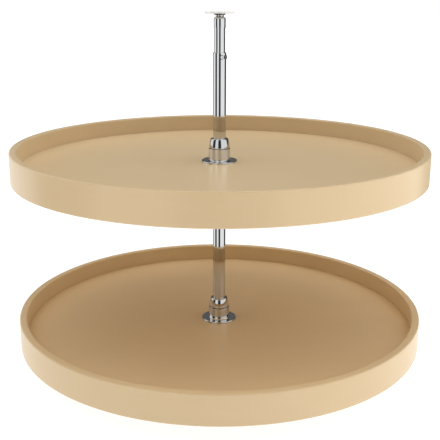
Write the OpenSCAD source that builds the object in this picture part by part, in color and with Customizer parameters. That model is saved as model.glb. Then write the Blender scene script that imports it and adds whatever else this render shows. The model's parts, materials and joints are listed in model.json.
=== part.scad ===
// Two-tray carousel for a corner base cabinet.
// Two round rimmed trays turn on their own ball bearings round one telescopic shaft, which stands
// in a socket on the cabinet's floor and swivels in a plate under the cabinet's top.
// Millimetres, +Z up. The origin is the centre of the base plate's underside.

/* [Trays] */
// Outside diameter of each tray
tray_d = 711.2; // [600:1:820]
// Height of the rim
rim_h = 51.2; // [48:0.2:76]
// Thickness of the rim
rim_t = 12.7; // [10:0.1:18]
// Rounding of the rim's edges
rim_edge_r = 2.2; // [0.5:0.1:3.5]
// Depth of the tray, from the top of its rim to its floor
tray_depth = 31; // [20:0.5:34]
// Thickness of the tray's floor panel
panel_t = 12.7; // [9:0.1:16]
// How far the panel is let into the rim
groove_depth = 5; // [2:0.5:7]
// Height of the upper tray above the lower one
tray_pitch = 292.6; // [240:0.1:340]

/* [Shaft] */
// Outside diameter of the outer tube
outer_tube_d = 22.2; // [20:0.1:28]
// Wall of the outer tube
outer_tube_wall = 1.9; // [1.2:0.1:2.4]
// Length of the outer tube
outer_tube_l = 526; // [460:0.1:620]
// Wall of the inner tube
inner_tube_wall = 1.2; // [0.8:0.1:2]
// Length of the inner tube
inner_tube_l = 174; // [130:1:240]
// Stretch of the inner tube between the outer tube and the end cap
extension = 39.2; // [20:0.1:90]
// Distance of the lock screws below the outer tube's top
lock_screw_drop = 7.5; // [6:0.5:16]
// Angle of the first lock screw, from the front towards the right
lock_screw_angle = 20; // [0:1:60]
// Angle between the two lock screws
lock_screw_spacing = 42; // [39:1:120]

/* [End cap and top plate] */
// Outside diameter of the end cap
cap_d = 20; // [19.5:0.1:26]
// Height of the end cap
cap_h = 19.2; // [16:0.1:26]
// Radius of the end cap's shoulder
cap_shoulder_r = 4.2; // [1:0.1:5]
// Height of the taper at the end cap's foot
cap_taper_h = 2.8; // [1:0.1:4]
// Depth of the inner tube's socket in the end cap
cap_socket = 12; // [6:0.5:13]
// Diameter of the pivot pin
pin_d = 8; // [5:0.1:9]
// Diameter of the pivot pin's head
pin_head_d = 12; // [10:0.1:14]
// Thickness of the pivot pin's head
pin_head_t = 1; // [0.6:0.1:1.4]
// Diameter of the thrust washer under the top plate
washer_d = 13.6; // [11:0.1:17]
// Thickness of the thrust washer
washer_t = 2.5; // [1:0.1:3]
// Diameter of the top plate
top_plate_d = 48; // [46:1:80]
// Thickness of the top plate
top_plate_t = 2.2; // [1.8:0.1:3]
// Diameter of the boss under the top plate
top_boss_d = 19.2; // [16:0.1:24]
// Height of the boss under the top plate
top_boss_h = 2.7; // [1:0.1:4]
// Pitch circle of the top plate's screw holes
top_holes_pcd = 36; // [34:1:38]
// Diameter of the top plate's screw holes
top_hole_d = 4.4; // [3:0.1:5]
// Diameter of the top plate's countersinks
top_countersink_d = 7; // [6.2:0.1:8]

/* [Hub] */
// Diameter of the hub's flange
flange_d = 62; // [60:0.5:80]
// Thickness of the hub's flange
flange_t = 3; // [1.6:0.1:4]
// Diameter of the hub's barrel
barrel_d = 37; // [35:0.1:42]
// Height of the barrel above the tray's floor
barrel_h = 23.3; // [18:0.1:40]
// Fillet between the barrel and the flange
hub_fillet_r = 2.4; // [0.5:0.1:4]
// Rounding of the barrel's upper edge
barrel_edge_r = 0.4; // [0.3:0.1:1.5]
// Diameter of the hub's domed cap at its foot
dome_d = 36; // [34:0.1:42]
// Height of the hub's domed cap
dome_h = 17.8; // [14:0.1:20]
// Radius of the dome's side, seen from the side
dome_side_r = 84; // [60:1:240]
// How far the dome's side leans inwards at its foot, in degrees
dome_lean = 6; // [1:0.1:8]
// Rounding of the dome's lower edge
dome_foot_r = 2.2; // [0.5:0.1:2.6]
// Rounding of the dome's upper edge
dome_edge_r = 2.6; // [0.5:0.1:3]
// Height of the barrel's neck inside the dome
neck_h = 9; // [5:0.5:11]
// Wall of the neck
neck_t = 2.4; // [1.5:0.1:3.5]
// Diameter of the hub's spigot, which goes through the floor panel
spigot_d = 32; // [30:0.1:34]
// Wall of the bushes
bush_t = 2; // [1.2:0.1:2.6]
// Length of each bush
bush_l = 12; // [6:0.5:16]
// Pitch circle of the hub's screws
hub_screws_pcd = 54; // [52:0.5:54]
// Diameter of the bosses that take the hub's screws
hub_boss_d = 7; // [6:0.1:7]
// Length of those bosses
hub_boss_l = 8; // [4:0.5:9]
// Diameter of the retaining plate under the tray
retaining_d = 72; // [66:1:100]
// Thickness of the retaining plate
retaining_t = 2; // [1.2:0.1:3]

/* [Bearing and collar] */
// Diameter of a ball
ball_d = 4.76; // [4:0.01:6]
// Number of balls in a bearing
ball_count = 12; // [8:1:15]
// Diameter of the circle of ball centres
ball_circle_d = 33.2; // [32:0.1:34]
// Outside diameter of the races
race_d = 42; // [40:0.5:44]
// Thickness of a race
race_t = 2; // [1.4:0.1:3]
// Depth of the groove in a race
race_groove = 0.6; // [0.3:0.05:0.9]
// Thickness of the ball cage
cage_t = 1.8; // [1:0.1:2.4]
// Outside diameter of the support collar
collar_d = 40; // [34:0.5:46]
// Height of the support collar
collar_h = 12; // [9:0.5:20]

/* [Base] */
// Diameter of the base plate
base_plate_d = 120; // [90:1:160]
// Thickness of the base plate
base_plate_t = 3; // [2:0.1:5]
// Pitch circle of the base plate's screw holes
base_holes_pcd = 92; // [70:1:100]
// Diameter of the base plate's screw holes
base_hole_d = 5; // [4:0.1:6]
// Diameter of the base plate's countersinks
base_countersink_d = 8.6; // [7.2:0.1:10]
// Outside diameter of the base socket
socket_d = 40; // [34:0.5:50]
// Height of the base socket above the base plate
socket_h = 13.3; // [10:0.1:24]
// Thickness of the socket's floor, which the shaft stands on
socket_floor_t = 3.6; // [2:0.1:5]

/* [Screws] */
// Diameter of a lock screw's shank
lock_screw_d = 5; // [4:0.1:6]
// Diameter of a lock screw's head
lock_head_d = 7.6; // [6.4:0.1:8.4]
// Height of a lock screw's head
lock_head_h = 1.5; // [1:0.1:3]
// Diameter of the set screws in the collars and the base socket
set_screw_d = 6; // [4:0.1:7]
// Diameter of a hub screw's shank
hub_screw_d = 4; // [3:0.1:4.4]
// Diameter of a hub screw's head
hub_head_d = 7.6; // [6:0.1:7.8]
// Height of a hub screw's head
hub_head_h = 2.4; // [1.6:0.1:2.8]

/* [Fits] */
// Radial clearance of what turns or slides on a shaft or pin
running_fit = 0.05; // [0.02:0.01:0.1]
// Clearance between pieces that are fastened together
seat_fit = 0.03; // [0.01:0.01:0.1]
// Clearance round what passes through a hole without touching
pass_gap = 0.4; // [0.2:0.05:0.5]
// Gap under the lower collar, which rests on the base socket
rest_gap = 0.2; // [0.1:0.05:0.4]
// Gap between a screw's tip and the tube that it locks
tip_gap = 0.12; // [0.05:0.01:0.3]

/* [Hidden] */
TIERS = ["lower", "upper"];
TIER_PIECES = ["tray_rim", "tray_panel", "hub", "hub_cap", "hub_bushes", "hub_screws",
               "retaining_plate", "top_race", "ball_cage", "balls", "bottom_race",
               "support_collar", "collar_set_screw"];
$fn = 96;

ARC_STEPS = 6;        // straight steps that stand for a quarter of a rounded edge
DOME_STEPS = 12;      // straight steps along the dome's side
CHAMFER = 0.4;        // the small chamfer on turned edges
SPIGOT_STEP = 5;      // how much narrower the base socket's spigot is than the socket
SCREW_RECESS = 1;     // how far a set screw's end lies inside its ring, and its tapered tip's length
SET_SCREW_ANGLE = 180; // the set screws point backwards
eps = 0.01;           // how far a cut runs past the face that it opens

// Colours, as red, green and blue
tray_colour = [0.82, 0.71, 0.55];
chrome_colour = [0.80, 0.80, 0.82];
zinc_colour = [0.66, 0.67, 0.69];
steel_colour = [0.55, 0.56, 0.58];
nylon_colour = [0.90, 0.89, 0.85];

// Shaft
shaft_r = outer_tube_d / 2;
outer_tube_bore_r = shaft_r - outer_tube_wall;
inner_tube_r = outer_tube_bore_r - running_fit;
inner_tube_bore_r = inner_tube_r - inner_tube_wall;
lock_screw_tip_r = inner_tube_r + tip_gap;

// Tray, measured from the underside of its rim
tray_r = tray_d / 2;
rim_inner_r = tray_r - rim_t;
panel_r = rim_inner_r + groove_depth - seat_fit;
panel_top = rim_h - tray_depth;
panel_bottom = panel_top - panel_t;

// Hub, measured from the underside of the tray's rim
barrel_r = barrel_d / 2;
dome_r = dome_d / 2;
barrel_top = panel_top + barrel_h;
neck_top = barrel_top + neck_h;
dome_top = barrel_top + dome_h;
hub_bore_r = shaft_r + running_fit + bush_t + seat_fit;
neck_r = hub_bore_r + neck_t;
hub_foot = panel_bottom - retaining_t;
screw_hole_gap = pass_gap / 2;

// Bearing and collar, measured from the underside of the tray's rim
ball_r = ball_d / 2;
race_bore_r = shaft_r + pass_gap;
race_gap = ball_d - 2 * race_groove + 2 * running_fit;
top_race_foot = hub_foot - race_t;
ball_level = top_race_foot - race_gap / 2;
bottom_race_top = top_race_foot - race_gap;
collar_top = bottom_race_top - race_t;
collar_foot = collar_top - collar_h;
groove_r = ball_r + running_fit;
cage_inner_r = ball_circle_d / 2 - ball_r - 1.4;
cage_outer_r = ball_circle_d / 2 + ball_r + 1.4;

// Heights above the cabinet's floor
socket_top = base_plate_t + socket_h;
socket_foot = seat_fit;
socket_spigot_r = socket_d / 2 - SPIGOT_STEP;
shaft_foot = socket_foot + socket_floor_t;
lower_tray_z = socket_top + rest_gap - collar_foot;
upper_tray_z = lower_tray_z + tray_pitch;
outer_tube_top = shaft_foot + outer_tube_l;
cap_foot = outer_tube_top + extension;
cap_top = cap_foot + cap_h;
inner_tube_top = cap_foot + cap_socket - seat_fit;
washer_foot = cap_top + seat_fit;
boss_foot = washer_foot + washer_t + running_fit;
top_plate_foot = boss_foot + top_boss_h;
top_plate_top = top_plate_foot + top_plate_t;
pin_recess = pin_head_t + 2 * running_fit;
pin_l = top_plate_top - running_fit - (cap_foot + cap_socket + 1);

// Points along an arc from angle a0 to angle a1, in equal straight steps
function arc(centre, r, a0, a1, steps = ARC_STEPS) =
    [for (i = [0:steps]) let (a = a0 + (a1 - a0) * i / steps)
        centre + r * [cos(a), sin(a)]];

// Turns a profile of [radius, height] points round the Z axis
module turned(profile) {
    rotate_extrude() polygon(profile);
}

// A turned ring with chamfered edges
module ring(inner_r, outer_r, foot, height, chamfer = CHAMFER) {
    top = foot + height;
    turned([
        [inner_r, foot + chamfer], [inner_r + chamfer, foot],
        [outer_r - chamfer, foot], [outer_r, foot + chamfer],
        [outer_r, top - chamfer], [outer_r - chamfer, top],
        [inner_r + chamfer, top], [inner_r, top - chamfer]]);
}

// Copies of the children at equal angles on a circle about the Z axis
module around(count, radius, start = 0) {
    for (i = [0:count - 1])
        rotate(start + 360 * i / count) translate([radius, 0, 0]) children();
}

// A round hole down through a plate, with a countersink at the plate's top
module countersunk_hole(d, countersink_d, plate_t, top) {
    depth = min((countersink_d - d) / 2, plate_t * 0.7);
    translate([0, 0, top - plate_t - eps]) cylinder(d = d, h = plate_t + 2 * eps);
    translate([0, 0, top - depth]) cylinder(d1 = d, d2 = countersink_d, h = depth);
    translate([0, 0, top - eps]) cylinder(d = countersink_d, h = 2 * eps);
}

// Turns the children from +Z to point outwards from the shaft, at an angle from the front
module pointing_out(angle, height) {
    translate([0, 0, height]) rotate([90, 0, angle]) children();
}

// A hexagonal socket that opens at the given height and goes down from it
module hex_socket(across_flats, depth, top) {
    translate([0, 0, top - depth])
        cylinder(d = across_flats / cos(30), h = depth + eps, $fn = 6);
}

// ---- Base ----

module base_plate() {
    color(zinc_colour) difference() {
        ring(socket_spigot_r + seat_fit, base_plate_d / 2, 0, base_plate_t);
        around(4, base_holes_pcd / 2, 45)
            countersunk_hole(base_hole_d, base_countersink_d, base_plate_t, base_plate_t);
    }
}

// Stands on the plate, with a spigot in the plate's hole, and holds the foot of the shaft
module base_socket() {
    r = socket_d / 2;
    bore_r = shaft_r + running_fit;
    color(zinc_colour) difference() {
        turned([
            [0, socket_foot], [socket_spigot_r, socket_foot],
            [socket_spigot_r, base_plate_t + seat_fit], [r, base_plate_t + seat_fit],
            [r, socket_top - CHAMFER], [r - CHAMFER, socket_top],
            [bore_r + CHAMFER, socket_top], [bore_r, socket_top - CHAMFER],
            [bore_r, shaft_foot - seat_fit], [0, shaft_foot - seat_fit]]);
        set_screw_hole(r, base_plate_t + socket_h / 2);
    }
}

// The hole for a set screw, from the bore to beyond the face of a ring on the shaft
module set_screw_hole(ring_r, height) {
    pointing_out(SET_SCREW_ANGLE, height)
        translate([0, 0, shaft_r - 1]) cylinder(d = set_screw_d + 2 * running_fit, h = ring_r);
}

// A headless screw with a hexagonal socket, from the shaft's surface to just inside a ring's face
module set_screw(ring_r, height) {
    r = set_screw_d / 2;
    tip_r = shaft_r + tip_gap;
    end_r = ring_r - SCREW_RECESS;
    color(steel_colour) pointing_out(SET_SCREW_ANGLE, height) difference() {
        turned([[0, tip_r], [r - SCREW_RECESS, tip_r], [r, tip_r + SCREW_RECESS],
                [r, end_r], [0, end_r]]);
        hex_socket(r, r, end_r);
    }
}

// ---- Shaft ----

module outer_tube() {
    edge_r = outer_tube_wall * 0.45;
    color(chrome_colour) difference() {
        turned(concat(
            [[outer_tube_bore_r, shaft_foot], [shaft_r, shaft_foot]],
            arc([shaft_r - edge_r, outer_tube_top - edge_r], edge_r, 0, 90),
            arc([outer_tube_bore_r + edge_r, outer_tube_top - edge_r], edge_r, 90, 180)));
        for (angle = [lock_screw_angle, lock_screw_angle + lock_screw_spacing])
            pointing_out(angle, outer_tube_top - lock_screw_drop)
                cylinder(d = lock_screw_d + 2 * running_fit, h = shaft_r + 1);
    }
}

// A low domed screw with a hexagonal socket, which passes through the outer tube's wall
module lock_screw(angle) {
    head_foot = shaft_r + running_fit;
    head_r = lock_head_d / 2;
    head_top = head_foot + lock_head_h;
    edge_r = lock_head_h * 0.8;
    socket_af = lock_screw_d * 0.5;
    color(chrome_colour) pointing_out(angle, outer_tube_top - lock_screw_drop) difference() {
        turned(concat(
            [[0, lock_screw_tip_r], [lock_screw_d / 2, lock_screw_tip_r],
             [lock_screw_d / 2, head_foot], [head_r, head_foot]],
            arc([head_r - edge_r, head_top - edge_r], edge_r, 0, 90),
            [[0, head_top]]));
        hex_socket(socket_af, lock_head_h * 0.8, head_top);
    }
}

module inner_tube() {
    color(chrome_colour) turned([
        [inner_tube_bore_r, inner_tube_top - inner_tube_l],
        [inner_tube_r - CHAMFER, inner_tube_top - inner_tube_l],
        [inner_tube_r, inner_tube_top - inner_tube_l + CHAMFER],
        [inner_tube_r, inner_tube_top], [inner_tube_bore_r, inner_tube_top]]);
}

// Closes the inner tube's upper end and holds the pivot pin
module shaft_end_cap() {
    r = cap_d / 2;
    socket_r = inner_tube_r + seat_fit;
    pin_hole_r = pin_d / 2 + seat_fit;
    color(chrome_colour) turned(concat(
        [[socket_r, cap_foot], [socket_r + CHAMFER / 2, cap_foot], [r, cap_foot + cap_taper_h]],
        arc([r - cap_shoulder_r, cap_top - cap_shoulder_r], cap_shoulder_r, 0, 90),
        [[pin_hole_r, cap_top], [pin_hole_r, cap_foot + cap_socket],
         [socket_r, cap_foot + cap_socket]]));
}

// Pressed into the end cap; its head sits in the top plate and carries it
module pivot_pin() {
    top = top_plate_top - running_fit;
    color(steel_colour) turned([
        [0, top - pin_l], [pin_d / 2 - CHAMFER, top - pin_l], [pin_d / 2, top - pin_l + CHAMFER],
        [pin_d / 2, top - pin_head_t], [pin_head_d / 2, top - pin_head_t],
        [pin_head_d / 2, top], [0, top]]);
}

module thrust_washer() {
    color(chrome_colour) ring(pin_d / 2 + seat_fit, washer_d / 2, washer_foot, washer_t);
}

// Screwed under the cabinet's top; it swivels on the pivot pin
module top_plate() {
    pin_hole_r = pin_d / 2 + running_fit;
    recess_r = pin_head_d / 2 + screw_hole_gap;
    boss_r = top_boss_d / 2;
    boss_edge_r = top_boss_h * 0.6;
    r = top_plate_d / 2;
    color(zinc_colour) difference() {
        turned(concat(
            [[pin_hole_r, boss_foot]],
            arc([boss_r - boss_edge_r, boss_foot + boss_edge_r], boss_edge_r, 270, 360),
            [[boss_r, top_plate_foot], [r - CHAMFER, top_plate_foot],
             [r, top_plate_foot + CHAMFER], [r, top_plate_top],
             [recess_r, top_plate_top], [recess_r, top_plate_top - pin_recess],
             [pin_hole_r, top_plate_top - pin_recess]]));
        around(4, top_holes_pcd / 2, 45)
            translate([0, 0, top_plate_foot]) mirror([0, 0, 1])
                countersunk_hole(top_hole_d, top_countersink_d, top_plate_t, 0);
    }
}

// ---- Tray ----

// A bent rim with rounded edges and a groove for the floor panel
module tray_rim() {
    e = rim_edge_r;
    color(tray_colour) turned(concat(
        arc([tray_r - e, e], e, -90, 0),
        arc([tray_r - e, rim_h - e], e, 0, 90),
        arc([rim_inner_r + e, rim_h - e], e, 90, 180),
        [[rim_inner_r, panel_top + seat_fit], [rim_inner_r + groove_depth, panel_top + seat_fit],
         [rim_inner_r + groove_depth, panel_bottom - seat_fit],
         [rim_inner_r, panel_bottom - seat_fit]],
        arc([rim_inner_r + e, e], e, 180, 270)));
}

module tray_panel() {
    color(tray_colour) difference() {
        translate([0, 0, panel_bottom]) cylinder(r = panel_r, h = panel_t);
        translate([0, 0, panel_bottom - eps])
            cylinder(r = spigot_d / 2 + screw_hole_gap, h = panel_t + 2 * eps);
        around(4, hub_screws_pcd / 2, 45) {
            translate([0, 0, panel_bottom - eps])
                cylinder(r = hub_screw_d / 2 + screw_hole_gap, h = panel_t + 2 * eps);
            translate([0, 0, panel_top - hub_boss_l - screw_hole_gap])
                cylinder(r = hub_boss_d / 2 + screw_hole_gap, h = hub_boss_l + 2 * screw_hole_gap);
        }
    }
}

// ---- Hub ----

// Flange, barrel and spigot in one casting; four bosses under the flange take the screws
module hub() {
    flange_r = flange_d / 2;
    flange_foot = panel_top + seat_fit;
    flange_top = flange_foot + flange_t;
    edge_r = flange_t * 0.45;
    spigot_r = spigot_d / 2;
    color(chrome_colour) difference() {
        union() {
            turned(concat(
                [[hub_bore_r, hub_foot], [spigot_r, hub_foot], [spigot_r, flange_foot],
                 [flange_r, flange_foot]],
                arc([flange_r - edge_r, flange_top - edge_r], edge_r, 0, 90),
                arc([barrel_r + hub_fillet_r, flange_top + hub_fillet_r], hub_fillet_r, 270, 180),
                arc([barrel_r - barrel_edge_r, barrel_top - barrel_edge_r], barrel_edge_r, 0, 90),
                [[neck_r, barrel_top], [neck_r, neck_top], [hub_bore_r, neck_top]]));
            around(4, hub_screws_pcd / 2, 45)
                translate([0, 0, panel_top - hub_boss_l])
                    cylinder(d = hub_boss_d, h = hub_boss_l + flange_t / 2);
        }
        around(4, hub_screws_pcd / 2, 45)
            translate([0, 0, panel_top - hub_boss_l - eps])
                cylinder(r = hub_screw_d / 2 + running_fit, h = hub_boss_l + eps);
    }
}

// Dome over the hub's neck, with a hole for the shaft. Its side is one arc that leans inwards and
// runs into the rounding of the foot below and of the upper edge above.
module hub_cap() {
    foot = barrel_top + seat_fit;
    hole_r = shaft_r + pass_gap;
    foot_centre = [dome_r - dome_foot_r, foot + dome_foot_r];
    side_centre = foot_centre - (dome_side_r - dome_foot_r) * [cos(dome_lean), sin(dome_lean)];
    edge_level = dome_top - dome_edge_r;
    side_end = asin((edge_level - side_centre[1]) / (dome_side_r - dome_edge_r));
    edge_centre = [side_centre[0] + (dome_side_r - dome_edge_r) * cos(side_end), edge_level];
    color(chrome_colour) turned(concat(
        [[neck_r + seat_fit, foot]],
        arc(foot_centre, dome_foot_r, -90, dome_lean),
        arc(side_centre, dome_side_r, dome_lean, side_end, DOME_STEPS),
        arc(edge_centre, dome_edge_r, side_end, 90),
        [[hole_r, dome_top], [hole_r, neck_top + pass_gap],
         [neck_r + seat_fit, neck_top + pass_gap]]));
}

// Two plain bushes, one at each end of the hub's bore
module hub_bushes() {
    color(nylon_colour)
        for (foot = [hub_foot, neck_top - bush_l])
            ring(shaft_r + running_fit, hub_bore_r - seat_fit, foot, bush_l);
}

// Fixed to the hub through the floor panel by the hub's screws
module retaining_plate() {
    color(zinc_colour) difference() {
        ring(spigot_d / 2 + screw_hole_gap, retaining_d / 2, hub_foot, retaining_t - seat_fit);
        around(4, hub_screws_pcd / 2, 45)
            translate([0, 0, hub_foot - eps])
                cylinder(r = hub_screw_d / 2 + screw_hole_gap, h = retaining_t + 2 * eps);
    }
}

// Four pan-head screws with crossed slots, put in from below
module hub_screws() {
    head_r = hub_head_d / 2;
    edge_r = hub_head_h * 0.55;
    head_top = hub_foot - seat_fit;
    head_foot = head_top - hub_head_h;
    slot_l = hub_head_d * 0.55;
    slot_w = hub_screw_d * 0.25;
    slot_depth = hub_head_h * 0.6;
    shank_top = panel_top - 1;
    color(steel_colour) around(4, hub_screws_pcd / 2, 45) difference() {
        turned(concat(
            [[0, head_foot]],
            arc([head_r - edge_r, head_foot + edge_r], edge_r, 270, 360),
            [[head_r, head_top], [hub_screw_d / 2, head_top],
             [hub_screw_d / 2, shank_top - CHAMFER], [hub_screw_d / 2 - CHAMFER, shank_top],
             [0, shank_top]]));
        for (turn = [0, 90])
            rotate(turn) translate([-slot_l / 2, -slot_w / 2, head_foot - eps])
                cube([slot_l, slot_w, slot_depth + eps]);
    }
}

// ---- Bearing and collar ----

// A flat ring with a groove for the balls; up is 1 for a groove on top and -1 for one below
module race(foot, up) {
    groove_face = up > 0 ? foot + race_t : foot;
    color(steel_colour) difference() {
        ring(race_bore_r, race_d / 2, foot, race_t, CHAMFER / 2);
        rotate_extrude()
            translate([ball_circle_d / 2, groove_face + up * (groove_r - race_groove)])
                circle(r = groove_r);
    }
}

module ball_cage() {
    color(nylon_colour) difference() {
        ring(cage_inner_r, cage_outer_r, ball_level - cage_t / 2, cage_t, CHAMFER / 2);
        around(ball_count, ball_circle_d / 2)
            translate([0, 0, ball_level - cage_t])
                cylinder(r = ball_r + running_fit, h = 2 * cage_t);
    }
}

module balls() {
    color(steel_colour) around(ball_count, ball_circle_d / 2)
        translate([0, 0, ball_level]) sphere(r = ball_r);
}

// Locked on the shaft by its set screw; it carries the bearing and the tray
module support_collar() {
    color(zinc_colour) difference() {
        ring(shaft_r + running_fit, collar_d / 2, collar_foot, collar_h - seat_fit);
        set_screw_hole(collar_d / 2, collar_foot + collar_h / 2);
    }
}

// ---- Assembly ----

function tray_z(tier) = tier == "upper" ? upper_tray_z : lower_tray_z;

base_plate();
base_socket();
set_screw(socket_d / 2, base_plate_t + socket_h / 2);  // base_set_screw
outer_tube();
lock_screw(lock_screw_angle);  // lock_screw_front
lock_screw(lock_screw_angle + lock_screw_spacing);  // lock_screw_side
inner_tube();
shaft_end_cap();
pivot_pin();
thrust_washer();
top_plate();

for (tier = TIERS) translate([0, 0, tray_z(tier)]) {
    tray_rim();
    tray_panel();
    hub();
    hub_cap();
    hub_bushes();
    hub_screws();
    retaining_plate();
    race(top_race_foot, -1);
    ball_cage();
    balls();
    race(collar_top, 1);
    support_collar();
    set_screw(collar_d / 2, collar_foot + collar_h / 2);
}
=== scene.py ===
"""The looks of a two-tray corner carousel: materials, a white studio and the photograph's camera.

Lengths are in metres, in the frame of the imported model: the origin is the centre of the base
plate's underside, +Z is up along the shaft, and the camera looks along +Y.
"""

import json
import math

import bpy
from mathutils import Matrix, Vector


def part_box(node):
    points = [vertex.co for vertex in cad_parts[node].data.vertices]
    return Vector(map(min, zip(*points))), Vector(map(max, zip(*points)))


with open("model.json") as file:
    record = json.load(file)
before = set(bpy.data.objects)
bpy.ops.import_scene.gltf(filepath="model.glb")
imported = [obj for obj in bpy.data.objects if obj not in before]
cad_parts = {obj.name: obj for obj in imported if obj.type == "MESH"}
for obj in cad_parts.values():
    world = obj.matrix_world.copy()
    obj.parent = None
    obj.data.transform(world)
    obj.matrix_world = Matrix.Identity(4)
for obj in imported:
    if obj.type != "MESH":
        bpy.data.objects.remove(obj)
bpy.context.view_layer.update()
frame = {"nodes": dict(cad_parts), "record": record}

# ---- Camera ----

CAMERA_PLACE = Vector((-0.0012, -1.3648, 0.6176))
CAMERA_PITCH = math.radians(15.577)     # downwards from the horizon
CAMERA_YAW = math.radians(0.505)        # towards the left
IMAGE_WIDTH = 440                       # pixels
FOCAL_LENGTH = 796.2                    # pixels
CROP_SHIFT = 8.2                        # pixels from the optical axis to the picture's middle
SENSOR = 36.0                           # millimetres
NEAREST, FARTHEST = 0.01, 200.0         # what the camera sees between


def make_camera():
    data = bpy.data.cameras.new("camera")
    data.sensor_width = SENSOR
    data.lens = FOCAL_LENGTH / IMAGE_WIDTH * SENSOR
    data.shift_x = CROP_SHIFT / IMAGE_WIDTH
    data.clip_start = NEAREST
    data.clip_end = FARTHEST
    camera = bpy.data.objects.new("camera", data)
    tilt = Matrix.Rotation(math.pi / 2 - CAMERA_PITCH, 4, "X")
    turn = Matrix.Rotation(CAMERA_YAW, 4, "Z")
    camera.matrix_world = Matrix.Translation(CAMERA_PLACE) @ turn @ tilt
    bpy.context.scene.collection.objects.link(camera)
    bpy.context.scene.camera = camera


make_camera()

# ---- Node helpers ----


class Shader:
    """A material's node tree, built by short calls. Sizes of patterns are in metres."""

    def __init__(self, name):
        self.material = bpy.data.materials.new(name)
        self.material.use_nodes = True
        self.tree = self.material.node_tree
        self.tree.nodes.clear()
        self.output = self.add("ShaderNodeOutputMaterial")

    def add(self, kind, **settings):
        node = self.tree.nodes.new(kind)
        for key, value in settings.items():
            setattr(node, key, value)
        return node

    def link(self, source, target):
        self.tree.links.new(source, target)

    def principled(self, **values):
        shader = self.add("ShaderNodeBsdfPrincipled")
        for key, value in values.items():
            shader.inputs[key.replace("_", " ")].default_value = value
        self.link(shader.outputs["BSDF"], self.output.inputs["Surface"])
        return shader

    def place(self, stretch=(1, 1, 1)):
        """A point on the piece, with its coordinates multiplied by stretch."""
        here = self.add("ShaderNodeTexCoord")
        scaled = self.add("ShaderNodeVectorMath", operation="MULTIPLY")
        scaled.inputs[1].default_value = stretch
        self.link(here.outputs["Object"], scaled.inputs[0])
        return scaled.outputs["Vector"]

    def noise(self, size, detail=2.0, stretch=(1, 1, 1)):
        """Soft patches of the given size, as a value round 0.5."""
        pattern = self.add("ShaderNodeTexNoise")
        pattern.inputs["Scale"].default_value = 1 / size
        pattern.inputs["Detail"].default_value = detail
        self.link(self.place(stretch), pattern.inputs["Vector"])
        return pattern.outputs["Fac"]

    def cells(self, size):
        """Crystals of the given size, each with a value of its own from 0 to 1."""
        pattern = self.add("ShaderNodeTexVoronoi")
        pattern.inputs["Scale"].default_value = 1 / size
        self.link(self.place(), pattern.inputs["Vector"])
        split = self.add("ShaderNodeSeparateColor")
        self.link(pattern.outputs["Color"], split.inputs[0])
        return split.outputs[0]

    def spread(self, value, low, high, start=0.3, end=0.7):
        """A value from low to high, as another goes from start to end."""
        ranged = self.add("ShaderNodeMapRange")
        settings = {"From Min": start, "From Max": end, "To Min": low, "To Max": high}
        for key, number in settings.items():
            ranged.inputs[key].default_value = number
        self.link(value, ranged.inputs["Value"])
        return ranged.outputs["Result"]

    def blend(self, share, first, second):
        """A colour from first to second as share goes from 0 to 1. Each is a colour or a socket."""
        mix = self.add("ShaderNodeMix", data_type="RGBA")
        self.link(share, mix.inputs["Factor"])
        for socket, colour in ((mix.inputs[6], first), (mix.inputs[7], second)):
            if isinstance(colour, bpy.types.NodeSocket):
                self.link(colour, socket)
            else:
                socket.default_value = colour
        return mix.outputs[2]

    def either(self, path, *kinds):
        """1 for a ray of any of the kinds."""
        found = path.outputs[kinds[0]]
        for kind in kinds[1:]:
            both = self.add("ShaderNodeMath", operation="MAXIMUM")
            self.link(found, both.inputs[0])
            self.link(path.outputs[kind], both.inputs[1])
            found = both.outputs[0]
        return found

    def bump(self, shader, height, depth, strength=1.0):
        """Raises the surface by depth where height is 1."""
        raised = self.add("ShaderNodeBump")
        raised.inputs["Distance"].default_value = depth
        raised.inputs["Strength"].default_value = strength
        self.link(height, raised.inputs["Height"])
        self.link(raised.outputs["Normal"], shader.inputs["Normal"])


def linear(red, green, blue):
    """An sRGB colour of 0 to 255 as the linear colour that a shader takes."""
    def one(value):
        share = value / 255
        return share / 12.92 if share <= 0.04045 else ((share + 0.055) / 1.055) ** 2.4
    return (one(red), one(green), one(blue), 1.0)


# ---- Materials ----

MM = 0.001
CHROME_DARK, CHROME_BRIGHT = (0.620, 0.630, 0.643, 1), (0.640, 0.648, 0.651, 1)
LOCK_FACE_DARK = (0.610, 0.620, 0.635, 1)
LOCK_FACE_R = 2.9 * MM      # the bright face of a lock screw's head
LOCK_FADE = 0.2 * MM        # half the width of the step from the face to the painted shade on the edge
BOSS_H = 2.7 * MM           # the boss under the top plate


def laminate(name, streaks):
    """Satin beige foil on board: faint patches and streaks, and a fine pressed grain."""
    shader = Shader(name)
    surface = shader.principled(
        IOR=1.5, Sheen_Weight=0.35, Sheen_Roughness=0.5, Sheen_Tint=linear(240, 222, 190)
    )
    patches = shader.noise(120 * MM)
    cloudy = shader.blend(shader.spread(patches, 0, 1), linear(215, 188, 146), linear(218, 191, 149))
    lines = shader.noise(90 * MM, 1.0, streaks)
    streaky = shader.blend(shader.spread(lines, 0, 0.3), cloudy, linear(213, 185, 142))
    shader.link(streaky, surface.inputs["Base Color"])
    shader.link(shader.spread(shader.noise(200 * MM), 0.275, 0.285), surface.inputs["Roughness"])
    shader.bump(surface, shader.noise(1.2 * MM), 0.004 * MM)
    return shader.material


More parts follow.
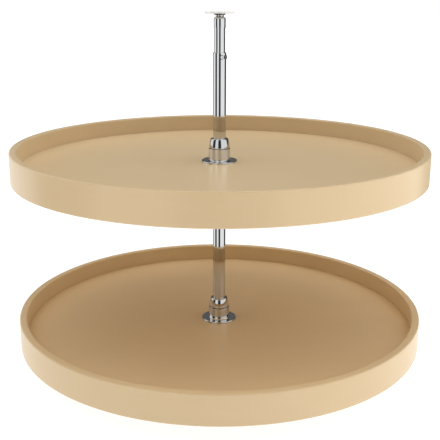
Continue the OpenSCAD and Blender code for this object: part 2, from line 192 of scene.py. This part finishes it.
def plated(name, dark, bright, matt, patch, polish=1.0):
    """Bare or plated metal: dull and bright patches, and marks that run round the shaft's axis."""
    shader = Shader(name)
    surface = shader.principled(Metallic=1.0)
    patches = shader.noise(patch, 3.0)
    shader.link(shader.blend(shader.spread(patches, 0, 1), dark, bright), surface.inputs["Base Color"])
    marks = shader.noise(20 * MM, 3.0, (1, 1, 20))
    haze = shader.add("ShaderNodeMath", operation="MULTIPLY_ADD")
    haze.inputs[1].default_value = 0.5
    shader.link(patches, haze.inputs[0])
    shader.link(shader.spread(marks, 0, 0.5), haze.inputs[2])
    shader.link(shader.spread(haze.outputs[0], *matt, 0.1, 0.9), surface.inputs["Roughness"])
    shader.bump(surface, shader.noise(patch, 2.0), 0.01 * MM * polish)
    return shader.material


def chrome():
    return plated("chrome", CHROME_DARK, CHROME_BRIGHT, (0.035, 0.05), 15 * MM, 0.02)


def zinc():
    """Bright zinc: small crystals in two greys, a little blue and yellow."""
    shader = Shader("zinc")
    surface = shader.principled(Metallic=1.0)
    crystals = shader.cells(2.5 * MM)
    grey = shader.blend(crystals, linear(194, 198, 205), linear(208, 209, 207))
    tinted = shader.blend(shader.spread(shader.noise(12 * MM), 0, 0.4), grey, linear(212, 208, 192))
    shader.link(tinted, surface.inputs["Base Color"])
    shader.link(shader.spread(crystals, 0.24, 0.36, 0, 1), surface.inputs["Roughness"])
    shader.bump(surface, crystals, 0.01 * MM)
    return shader.material


def moulded(name, dark, bright, matt, grain):
    """A moulded or sprayed skin: slight unevenness in tone and gloss, and a fine grain."""
    shader = Shader(name)
    surface = shader.principled()
    patches = shader.noise(8 * MM, 3.0)
    shader.link(shader.blend(shader.spread(patches, 0, 1), dark, bright), surface.inputs["Base Color"])
    shader.link(shader.spread(patches, *matt), surface.inputs["Roughness"])
    shader.bump(surface, shader.noise(grain, 2.0), 0.02 * MM)
    return shader.material


def bearing_steel():
    return plated("bearing_steel", linear(184, 186, 190), linear(194, 196, 199), (0.14, 0.22), 6 * MM)


def black_oxide():
    return plated("black_oxide", linear(40, 40, 43), linear(56, 54, 52), (0.34, 0.48), 3 * MM)


def painted_shade_edged(screw):
    """Chrome for a lock screw's head: a ribbed edge darkened with painted shade, and a face that stays
    bright.
    """
    low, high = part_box(screw)
    middle = (low + high) / 2
    shader = Shader("painted_shade_edged_" + screw)
    surface = shader.principled(Metallic=1.0)
    here = shader.add("ShaderNodeTexCoord")
    turned = shader.add("ShaderNodeMapping", vector_type="TEXTURE")
    turned.inputs["Location"].default_value = (0, 0, middle.z)
    turned.inputs["Rotation"].default_value = (0, 0, math.atan2(middle.x, -middle.y))
    shader.link(here.outputs["Object"], turned.inputs["Vector"])
    flat = shader.add("ShaderNodeVectorMath", operation="MULTIPLY")
    flat.inputs[1].default_value = (1, 0, 1)
    shader.link(turned.outputs[0], flat.inputs[0])
    radius = shader.add("ShaderNodeVectorMath", operation="LENGTH")
    shader.link(flat.outputs[0], radius.inputs[0])
    # painted shade mask: 0 on the bright face, 1 on the head's edge
    edge = shader.spread(radius.outputs["Value"], 0, 1, LOCK_FACE_R - LOCK_FADE, LOCK_FACE_R + LOCK_FADE)
    patches = shader.noise(3 * MM)
    bright = shader.blend(shader.spread(patches, 0, 1), LOCK_FACE_DARK, CHROME_BRIGHT)
    # painted shade: the dark grey given to the head's edge
    dark = shader.blend(shader.spread(patches, 0, 1), linear(84, 84, 86), linear(104, 104, 106))
    shader.link(shader.blend(edge, bright, dark), surface.inputs["Base Color"])
    shader.link(shader.spread(edge, 0.05, 0.3, 0, 1), surface.inputs["Roughness"])
    ribs = shader.add("ShaderNodeTexNoise")
    ribs.inputs["Scale"].default_value = 1 / (0.6 * MM)
    shader.link(flat.outputs[0], ribs.inputs["Vector"])
    shader.bump(surface, ribs.outputs["Fac"], 0.02 * MM)
    return shader.material


def half_enamelled():
    """The top plate: white enamel from the plate's underside up, and bare steel on its boss, coloured dark
    grey as painted shade under the plate.
    """
    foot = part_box("top_plate")[0].z + BOSS_H
    shader = Shader("pale_enamel")
    surface = shader.principled()
    split = shader.add("ShaderNodeSeparateXYZ")
    shader.link(shader.place(), split.inputs[0])
    enamelled = shader.spread(split.outputs["Z"], 0, 1, foot - 0.1 * MM, foot)
    patches = shader.noise(6 * MM, 3.0)
    # the boss is bare steel, and its dark grey is painted shade under the plate
    steel_in_painted_shade = shader.blend(shader.spread(patches, 0, 1), linear(112, 113, 115), linear(132, 133, 134))
    white = shader.blend(shader.spread(patches, 0, 1), linear(240, 240, 239), linear(245, 245, 244))
    shader.link(shader.blend(enamelled, steel_in_painted_shade, white), surface.inputs["Base Color"])
    shader.link(shader.spread(enamelled, 1, 0, 0, 1), surface.inputs["Metallic"])
    shader.link(shader.spread(enamelled, 0.3, 0.38, 0, 1), surface.inputs["Roughness"])
    shader.bump(surface, shader.noise(1.2 * MM, 2.0), 0.01 * MM)
    return shader.material


MATERIALS = {
    "tray_rim": laminate("rim_laminate", (1, 1, 8)),        # streaks round the ring
    "tray_floor": laminate("floor_laminate", (1, 8, 1)),    # streaks across the panel, along X
    "chrome": chrome(),
    "pale_plate": half_enamelled(),
    "zinc_plate": zinc(),
    "bearing_steel": bearing_steel(),
    "blackened_steel": black_oxide(),
    "nylon": moulded("nylon", linear(228, 226, 215), linear(236, 234, 225), (0.42, 0.54), 0.8 * MM),
}

for part in frame["record"]["subparts"]:
    name = part["node"]
    piece = frame["nodes"][name]
    piece.data.materials.clear()
    if name.startswith("lock_screw"):
        piece.data.materials.append(painted_shade_edged(name))
    else:
        piece.data.materials.append(MATERIALS[part["material_slot"]])

# ---- Studio ----
# The floor and the world are white where they are seen or mirrored. Dark cards that only the gloss
# sees stand round the object and put dark bands in its chrome; between and over them the chrome
# mirrors the white. Soft light from above and from both sides, and the floor, light the colours.
# Azimuths go from the camera's side, -Y, towards the right, +X, in degrees.

FLOOR_SIZE = 60.0
FLOOR_DROP = 0.1 * MM   # how far it lies under the base plate
FLOOR_GLOW = 0.86       # the share of the floor's white that no shadow takes away
FLOOR_WHITE = 1.15      # the floor's level where no shadow falls
FLOOR_LIGHT = 1.27      # the light that the floor sends up on the object's left side
FLOOR_RIGHT = 1.76      # and from FLOOR_BLEND to its right, with a ramp between
FLOOR_BLEND = 0.5
SOFT_LIGHTS = (         # the direction that the light comes from, its sharpness and its level
    ((0, 0, 1), 4, 2.34),
    ((1, 0, 0), 2, 1.2),
    ((-1, 0, 0), 2, 0.93),
)
CARDS_RADIUS = 0.6      # near enough to stand before the floor, as the shaft mirrors it
CARDS_FADE = 1.05       # the height at which the cards begin to fade out
CARDS_TOP = 2.2
CARDS_STEPS = 180       # flat steps round the ring
CARDS = (               # azimuth, level and cover, in order: cover 1 is a card, 0 is open
    (-180, 0.13, 1), (-150, 0.1, 1), (-131, 0.05, 1), (-122, 0.05, 0), (-84, 0.03, 0), (-75, 0.03, 1),
    (-51, 0.03, 1), (-42, 0.03, 0), (-19, 0.03, 0), (-9, 0.03, 1), (15, 0.03, 1), (24, 0.03, 0),
    (93, 0.05, 0), (102, 0.05, 1), (150, 0.1, 1), (180, 0.13, 1),
)


def stage_item(name, mesh, material):
    mesh.materials.append(material)
    item = bpy.data.objects.new(name, mesh)
    bpy.context.scene.collection.objects.link(item)
    return item


def make_floor():
    """White from above, and clear from below, so that the trays' undersides can be seen."""
    half = FLOOR_SIZE / 2
    corners = [(x, y, -FLOOR_DROP) for x, y in ((-half, -half), (half, -half), (half, half), (-half, half))]
    mesh = bpy.data.meshes.new("floor")
    mesh.from_pydata(corners, [], [(0, 1, 2, 3)])
    shader = Shader("floor")
    path = shader.add("ShaderNodeLightPath")
    glow = shader.add("ShaderNodeEmission")
    glow.inputs["Strength"].default_value = FLOOR_GLOW
    matt = shader.add("ShaderNodeBsdfDiffuse")
    matt.inputs["Color"].default_value = (FLOOR_WHITE - FLOOR_GLOW,) * 3 + (1,)
    seen = shader.add("ShaderNodeAddShader")
    shader.link(glow.outputs[0], seen.inputs[0])
    shader.link(matt.outputs[0], seen.inputs[1])
    split = shader.add("ShaderNodeSeparateXYZ")
    shader.link(shader.place(), split.inputs[0])
    level = shader.spread(split.outputs["X"], FLOOR_LIGHT, FLOOR_RIGHT, 0, FLOOR_BLEND)
    light = shader.add("ShaderNodeEmission")
    shader.link(level, light.inputs["Strength"])
    mix = shader.add("ShaderNodeMixShader")
    seen_by = shader.either(path, "Is Camera Ray", "Is Glossy Ray", "Is Transmission Ray")
    shader.link(seen_by, mix.inputs[0])
    shader.link(light.outputs[0], mix.inputs[1])
    shader.link(seen.outputs[0], mix.inputs[2])
    clear = shader.add("ShaderNodeBsdfTransparent")
    side = shader.add("ShaderNodeNewGeometry")
    one_sided = shader.add("ShaderNodeMixShader")
    shader.link(side.outputs["Backfacing"], one_sided.inputs[0])
    shader.link(mix.outputs[0], one_sided.inputs[1])
    shader.link(clear.outputs[0], one_sided.inputs[2])
    shader.link(one_sided.outputs[0], shader.output.inputs["Surface"])
    shader.material.cycles.emission_sampling = "NONE"
    stage_item("floor", mesh, shader.material)


def make_cards():
    """A ring of upright dark cards. Between and over them the gloss shows the white floor and world."""
    vertices, faces = [], []
    for step in range(CARDS_STEPS):
        angle = 2 * math.pi * step / CARDS_STEPS
        x, y = CARDS_RADIUS * math.cos(angle), CARDS_RADIUS * math.sin(angle)
        vertices += [(x, y, 0), (x, y, CARDS_TOP)]
        foot, next_foot = 2 * step, 2 * ((step + 1) % CARDS_STEPS)
        faces.append((foot, next_foot, next_foot + 1, foot + 1))
    mesh = bpy.data.meshes.new("cards")
    mesh.from_pydata(vertices, [], faces)

    shader = Shader("cards")
    here = shader.add("ShaderNodeTexCoord")
    turned = shader.add("ShaderNodeMapping", vector_type="POINT")
    turned.inputs["Rotation"].default_value = (0, 0, math.radians(90))
    shader.link(here.outputs["Object"], turned.inputs["Vector"])
    azimuth = shader.add("ShaderNodeTexGradient", gradient_type="RADIAL")
    shader.link(turned.outputs[0], azimuth.inputs["Vector"])
    cards = shader.add("ShaderNodeValToRGB")
    ramp = cards.color_ramp
    for _ in range(len(CARDS) - len(ramp.elements)):
        ramp.elements.new(0.5)
    for element, (angle, level, cover) in zip(ramp.elements, CARDS):
        element.position = (angle + 180) / 360
        element.color = (level, level, level, cover)
    shader.link(azimuth.outputs["Fac"], cards.inputs["Fac"])

    split = shader.add("ShaderNodeSeparateXYZ")
    shader.link(here.outputs["Object"], split.inputs[0])
    fade = shader.spread(split.outputs["Z"], 1, 0, CARDS_FADE, CARDS_TOP)
    cover = shader.add("ShaderNodeMath", operation="MULTIPLY")
    shader.link(cards.outputs["Alpha"], cover.inputs[0])
    shader.link(fade, cover.inputs[1])
    card = shader.add("ShaderNodeEmission")
    shader.link(cards.outputs["Color"], card.inputs["Color"])
    clear = shader.add("ShaderNodeBsdfTransparent")
    mix = shader.add("ShaderNodeMixShader")
    shader.link(cover.outputs[0], mix.inputs[0])
    shader.link(clear.outputs[0], mix.inputs[1])
    shader.link(card.outputs[0], mix.inputs[2])
    shader.link(mix.outputs[0], shader.output.inputs["Surface"])
    shader.material.cycles.emission_sampling = "NONE"
    ring = stage_item("cards", mesh, shader.material)
    ring.visible_camera = False
    ring.visible_diffuse = False
    ring.visible_shadow = False


def make_world():
    """White where it is seen or mirrored, and the soft lights for what it lights."""
    world = bpy.data.worlds.new("studio")
    bpy.context.scene.world = world
    world.use_nodes = True
    tree = world.node_tree

    def add(kind, **settings):
        node = tree.nodes.new(kind)
        for key, value in settings.items():
            setattr(node, key, value)
        return node

    def math_node(operation, *values):
        node = add("ShaderNodeMath", operation=operation)
        for socket, value in zip(node.inputs, values):
            if isinstance(value, bpy.types.NodeSocket):
                tree.links.new(value, socket)
            else:
                socket.default_value = value
        return node.outputs[0]

    direction = add("ShaderNodeTexCoord").outputs["Generated"]
    light = 0.0
    for axis, sharpness, level in SOFT_LIGHTS:
        towards = add("ShaderNodeVectorMath", operation="DOT_PRODUCT")
        towards.inputs[1].default_value = axis
        tree.links.new(direction, towards.inputs[0])
        facing = math_node("MAXIMUM", towards.outputs["Value"], 0.0)
        light = math_node("MULTIPLY_ADD", math_node("POWER", facing, sharpness), level, light)

    path = add("ShaderNodeLightPath")
    mirrored = math_node("MAXIMUM", path.outputs["Is Glossy Ray"], path.outputs["Is Transmission Ray"])
    white = math_node("MAXIMUM", path.outputs["Is Camera Ray"], mirrored)
    shown = add("ShaderNodeMapRange")
    tree.links.new(white, shown.inputs["Value"])
    tree.links.new(light, shown.inputs["To Min"])
    shown.inputs["To Max"].default_value = 1.0
    background = tree.nodes["Background"]
    background.inputs["Color"].default_value = (1, 1, 1, 1)
    tree.links.new(shown.outputs["Result"], background.inputs["Strength"])
    world.cycles.sampling_method = "NONE"


make_floor()
make_cards()
make_world()

bpy.context.scene.view_settings.view_transform = "Standard"
